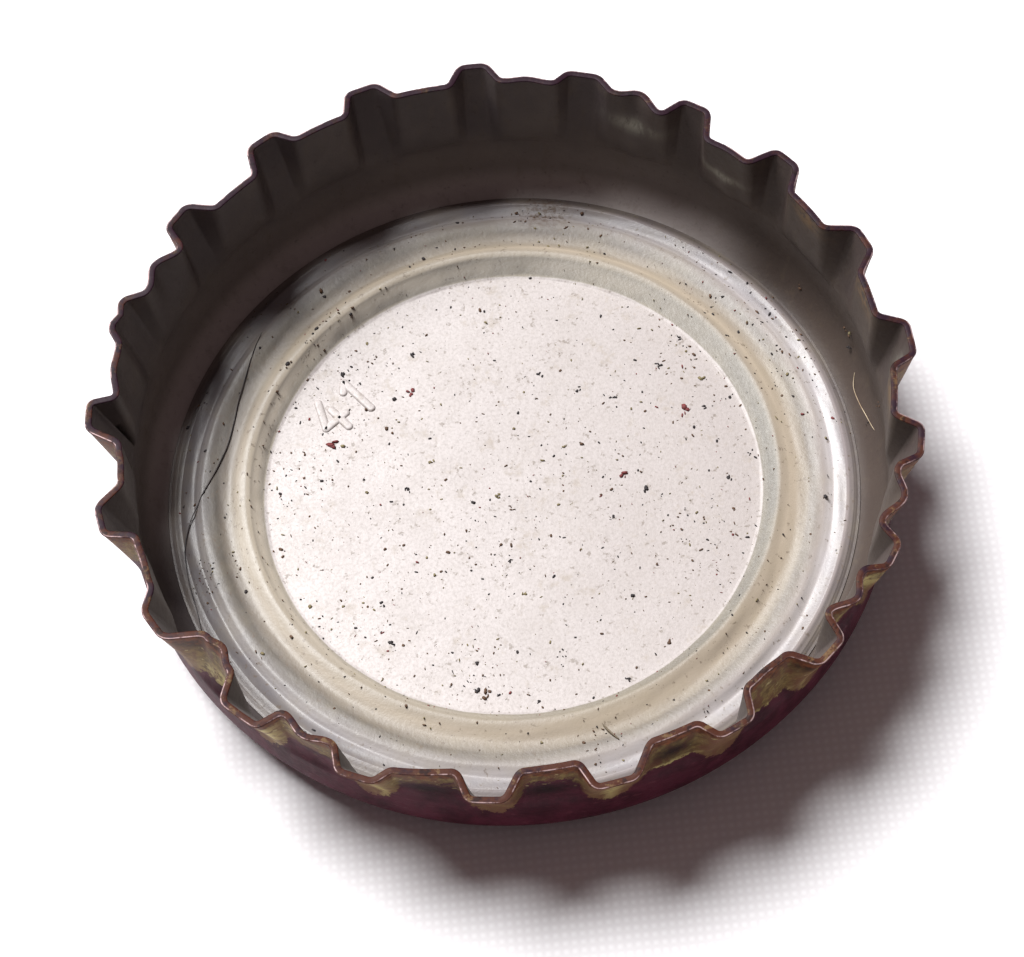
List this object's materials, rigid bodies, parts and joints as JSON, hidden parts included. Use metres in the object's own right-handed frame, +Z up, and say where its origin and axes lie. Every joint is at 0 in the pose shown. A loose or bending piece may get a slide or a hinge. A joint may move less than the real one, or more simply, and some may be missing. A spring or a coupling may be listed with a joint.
{
  "type": "bottle cap",
  "caption": "Round crown bottle cap of pressed tinplate lying mouth up: flat panel, rounded bend, fluted skirt, and a moulded sealing liner with raised beads inside.",
  "frame": {"origin": "middle of the panel's outside face, which the cap lies on", "axes": "+Z straight up out of the open mouth, -Y towards the viewer, +X to the viewer's right"},
  "size_m": [0.0287, 0.0291, 0.0063],
  "materials": {
    "tinplate": "printed and lacquered tinplate, dark red outside with a worn yellow-green band near the rim, dull grey inside, rust on the cut edge",
    "liner": "cream moulded sealing compound, slightly glossy, specked with dirt"
  },
  "bodies": {
    "root": {"shell": "tinplate", "liner": "liner"}
  },
  "joints": []
}
